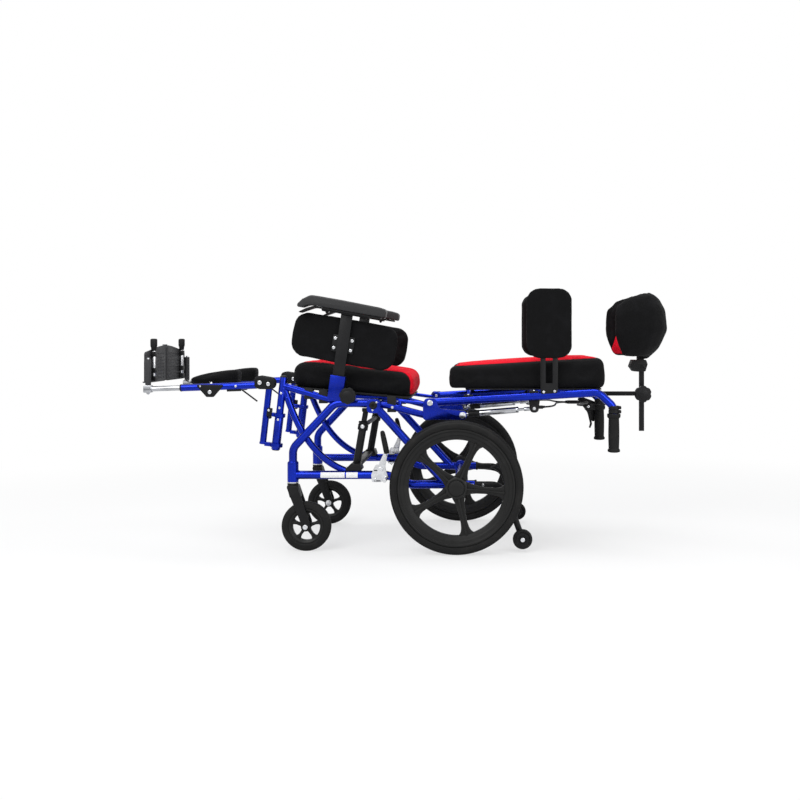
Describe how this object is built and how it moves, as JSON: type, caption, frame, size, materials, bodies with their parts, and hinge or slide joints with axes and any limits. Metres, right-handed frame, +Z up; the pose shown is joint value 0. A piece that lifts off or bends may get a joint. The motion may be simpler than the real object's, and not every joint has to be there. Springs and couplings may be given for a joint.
{
  "type": "positioning wheelchair",
  "caption": "Attendant wheelchair with reclining back on gas springs, elevating legrests, height-adjustable armrests, hip and trunk pads, winged headrest, brakes and anti-tippers.",
  "frame": {"origin": "centre of the bounding box, on the floor", "axes": "+X runs from the footplates to the headrest, +Y to the sitter's right, +Z up; the back is reclined flat and the legrests are raised, as in the picture"},
  "size_m": [1.6607, 0.564, 0.811],
  "materials": {
    "blue_paint": "metallic blue lacquer on steel tube",
    "black_paint": "satin black powder coat",
    "bright_steel": "bright zinc or chrome plate",
    "black_plastic": "moulded matt black",
    "wheel_plastic": "moulded black composite, slight sheen",
    "footplate_plastic": "ribbed dark grey moulding",
    "arm_pad": "self-skinned black foam",
    "solid_tyre": "solid black rubber on a black core",
    "air_tyre": "knobbly black tread",
    "grip_rubber": "moulded black hand grip",
    "cable_sleeve": "black sleeved cable",
    "black_fabric": "black stretch fabric over foam",
    "seat_cover": "red top and black sides over foam",
    "back_cover": "black sides with a red upper panel over foam",
    "headrest_cover": "black outside and red lining over foam"
  },
  "bodies": {
    "base": {"left_side_frame": "blue_paint", "right_side_frame": "blue_paint", "rear_cross_tube": "blue_paint", "seat_struts": "black_paint", "seat_board": "black_plastic", "seat_cushion": "seat_cover", "left_brake_bracket": "bright_steel", "right_brake_bracket": "bright_steel", "left_anti_tip_leg": "black_paint", "right_anti_tip_leg": "black_paint"},
    "left_caster": {"left_caster_fork": "black_paint"},
    "right_caster": {"right_caster_fork": "black_paint"},
    "left_front_wheel": {"left_caster_wheel": "solid_tyre"},
    "right_front_wheel": {"right_caster_wheel": "solid_tyre"},
    "left_drive_wheel": {"left_rear_wheel": "wheel_plastic", "left_rear_tyre": "air_tyre"},
    "right_drive_wheel": {"right_rear_wheel": "wheel_plastic", "right_rear_tyre": "air_tyre"},
    "left_tip_wheel": {"left_anti_tip_wheel": "solid_tyre"},
    "right_tip_wheel": {"right_anti_tip_wheel": "solid_tyre"},
    "left_brake": {"left_brake_lever": "bright_steel"},
    "right_brake": {"right_brake_lever": "bright_steel"},
    "left_armrest": {"left_armrest_post": "black_paint", "left_armrest_pad": "arm_pad", "left_hip_pad": "black_fabric"},
    "right_armrest": {"right_armrest_post": "black_paint", "right_armrest_pad": "arm_pad", "right_hip_pad": "black_fabric"},
    "left_arm_clamp": {"left_armrest_knob": "black_plastic"},
    "right_arm_clamp": {"right_armrest_knob": "black_plastic"},
    "left_hanger": {"left_legrest_hanger": "blue_paint"},
    "right_hanger": {"right_legrest_hanger": "blue_paint"},
    "left_legrest": {"left_legrest_tube": "blue_paint", "left_calf_pad": "black_fabric"},
    "right_legrest": {"right_legrest_tube": "blue_paint", "right_calf_pad": "black_fabric"},
    "left_extension": {"left_legrest_extension": "bright_steel"},
    "right_extension": {"right_legrest_extension": "bright_steel"},
    "left_foot": {"left_footplate": "footplate_plastic"},
    "right_foot": {"right_footplate": "footplate_plastic"},
    "back": {"back_frame": "blue_paint", "back_cushion": "back_cover", "back_cushion_roll": "back_cover", "left_handle_grip": "grip_rubber", "right_handle_grip": "grip_rubber", "recline_cable": "cable_sleeve", "left_trunk_bracket": "black_paint", "right_trunk_bracket": "black_paint"},
    "left_trunk_support": {"left_trunk_pad": "black_fabric"},
    "right_trunk_support": {"right_trunk_pad": "black_fabric"},
    "release_lever": {"recline_lever": "black_paint"},
    "left_spring_body": {"left_gas_spring_body": "bright_steel"},
    "right_spring_body": {"right_gas_spring_body": "bright_steel"},
    "left_spring_rod": {"left_gas_spring_rod": "bright_steel"},
    "right_spring_rod": {"right_gas_spring_rod": "bright_steel"},
    "headrest_arm": {"headrest_bar": "black_paint"},
    "headrest_clamp": {"headrest_knob": "black_plastic"},
    "headrest_mast": {"headrest_stem": "black_paint"},
    "headrest": {"headrest_block": "black_plastic", "headrest_pad": "headrest_cover"}
  },
  "joints": [
    {"name": "left_caster_swivel", "type": "hinge", "parent": "base", "child": "left_caster", "pos_m": [-0.359, -0.205, 0.209], "axis": [0, 0, 1], "continuous": true},
    {"name": "right_caster_swivel", "type": "hinge", "parent": "base", "child": "right_caster", "pos_m": [-0.359, 0.205, 0.209], "axis": [0, 0, 1], "continuous": true},
    {"name": "left_front_wheel_spin", "type": "hinge", "parent": "left_caster", "child": "left_front_wheel", "pos_m": [-0.317, -0.205, 0.076], "axis": [0, 1, 0], "continuous": true},
    {"name": "right_front_wheel_spin", "type": "hinge", "parent": "right_caster", "child": "right_front_wheel", "pos_m": [-0.317, 0.205, 0.076], "axis": [0, 1, 0], "continuous": true},
    {"name": "left_drive_wheel_spin", "type": "hinge", "parent": "base", "child": "left_drive_wheel", "pos_m": [0.147, -0.257, 0.203], "axis": [0, 1, 0], "continuous": true},
    {"name": "right_drive_wheel_spin", "type": "hinge", "parent": "base", "child": "right_drive_wheel", "pos_m": [0.147, 0.257, 0.203], "axis": [0, 1, 0], "continuous": true},
    {"name": "left_tip_wheel_spin", "type": "hinge", "parent": "base", "child": "left_tip_wheel", "pos_m": [0.348, -0.2255, 0.0395], "axis": [0, 1, 0], "continuous": true},
    {"name": "right_tip_wheel_spin", "type": "hinge", "parent": "base", "child": "right_tip_wheel", "pos_m": [0.348, 0.2255, 0.0395], "axis": [0, 1, 0], "continuous": true},
    {"name": "left_brake_lock", "type": "hinge", "parent": "base", "child": "left_brake", "pos_m": [-0.086, -0.2228, 0.2533], "axis": [0, -1, 0], "range_deg": [0, 23]},
    {"name": "right_brake_lock", "type": "hinge", "parent": "base", "child": "right_brake", "pos_m": [-0.086, 0.2228, 0.2533], "axis": [0, -1, 0], "range_deg": [0, 23]},
    {"name": "left_armrest_height", "type": "slide", "parent": "base", "child": "left_armrest", "axis": [0.1392, 0, 0.9903], "range_m": [0, 0.035]},
    {"name": "right_armrest_height", "type": "slide", "parent": "base", "child": "right_armrest", "axis": [0.1392, 0, 0.9903], "range_m": [0, 0.035]},
    {"name": "left_arm_clamp_turn", "type": "hinge", "parent": "base", "child": "left_arm_clamp", "pos_m": [-0.18603, -0.2185, 0.47845], "axis": [0, 1, 0], "continuous": true},
    {"name": "right_arm_clamp_turn", "type": "hinge", "parent": "base", "child": "right_arm_clamp", "pos_m": [-0.18603, 0.2185, 0.47845], "axis": [0, 1, 0], "continuous": true},
    {"name": "left_legrest_swing", "type": "hinge", "parent": "base", "child": "left_hanger", "pos_m": [-0.40138, -0.1825, 0.4545], "axis": [0.1113, 0, 0.9938], "range_deg": [0, 90]},
    {"name": "right_legrest_swing", "type": "hinge", "parent": "base", "child": "right_hanger", "pos_m": [-0.40138, 0.1825, 0.4545], "axis": [-0.1113, 0, -0.9938], "range_deg": [0, 90]},
    {"name": "left_legrest_elevation", "type": "hinge", "parent": "left_hanger", "child": "left_legrest", "pos_m": [-0.463, -0.1825, 0.517], "axis": [0, -1, 0], "range_deg": [0, 70]},
    {"name": "right_legrest_elevation", "type": "hinge", "parent": "right_hanger", "child": "right_legrest", "pos_m": [-0.463, 0.1825, 0.517], "axis": [0, -1, 0], "range_deg": [0, 70]},
    {"name": "left_leg_length", "type": "slide", "parent": "left_legrest", "child": "left_extension", "axis": [-0.9994, 0, -0.0349], "range_m": [0, 0.05]},
    {"name": "right_leg_length", "type": "slide", "parent": "right_legrest", "child": "right_extension", "axis": [-0.9994, 0, -0.0349], "range_m": [0, 0.05]},
    {"name": "left_footplate_flip", "type": "hinge", "parent": "left_extension", "child": "left_foot", "pos_m": [-0.814, -0.1825, 0.49659], "axis": [0, 0, -1], "range_deg": [0, 48]},
    {"name": "right_footplate_flip", "type": "hinge", "parent": "right_extension", "child": "right_foot", "pos_m": [-0.814, 0.1825, 0.49659], "axis": [0, 0, 1], "range_deg": [0, 48]},
    {"name": "back_recline", "type": "hinge", "parent": "base", "child": "back", "pos_m": [0.063, 0, 0.4545], "axis": [0, -1, 0], "range_deg": [0, 75], "deforming": ["back_cushion_roll"]},
    {"name": "left_spring_turn", "type": "hinge", "parent": "base", "child": "left_spring_body", "pos_m": [0.164, -0.1602, 0.416], "axis": [0, -1, 0], "range_deg": [0, 85]},
    {"name": "right_spring_turn", "type": "hinge", "parent": "base", "child": "right_spring_body", "pos_m": [0.164, 0.1602, 0.416], "axis": [0, -1, 0], "range_deg": [0, 85]},
    {"name": "left_spring_stroke", "type": "slide", "parent": "left_spring_body", "child": "left_spring_rod", "axis": [0.9964, 0, 0.0849], "range_m": [0, 0.123]},
    {"name": "right_spring_stroke", "type": "slide", "parent": "right_spring_body", "child": "right_spring_rod", "axis": [0.9964, 0, 0.0849], "range_m": [0, 0.123]},
    {"name": "left_trunk_height", "type": "slide", "parent": "back", "child": "left_trunk_support", "axis": [0, 0, 1], "range_m": [0, 0.03]},
    {"name": "right_trunk_height", "type": "slide", "parent": "back", "child": "right_trunk_support", "axis": [0, 0, 1], "range_m": [0, 0.03]},
    {"name": "release_squeeze", "type": "hinge", "parent": "back", "child": "release_lever", "pos_m": [0.594, 0.17816, 0.41658], "axis": [0, -1, 0], "range_deg": [0, 8], "stiffness_Nm_per_rad": 1},
    {"name": "headrest_reach", "type": "slide", "parent": "back", "child": "headrest_arm", "axis": [1, 0, 0], "range_m": [-0.004, 0.03]},
    {"name": "headrest_clamp_turn", "type": "hinge", "parent": "headrest_arm", "child": "headrest_clamp", "pos_m": [0.751, -0.014, 0.472], "axis": [0, 1, 0], "continuous": true},
    {"name": "headrest_height", "type": "slide", "parent": "headrest_arm", "child": "headrest_mast", "axis": [0, 0, 1], "range_m": [-0.024, 0.05]},
    {"name": "headrest_tilt", "type": "hinge", "parent": "headrest_mast", "child": "headrest", "pos_m": [0.751, 0, 0.56], "axis": [0, 1, 0], "range_deg": [-20, 20]}
  ],
  "couplings": [
    {"joint": "left_spring_turn", "follows": "back_recline", "ratio": 1.1313},
    {"joint": "right_spring_turn", "follows": "back_recline", "ratio": 1.1313},
    {"joint": "left_spring_stroke", "follows": "back_recline", "m_per_rad": 0.093667},
    {"joint": "right_spring_stroke", "follows": "back_recline", "m_per_rad": 0.093667}
  ]
}
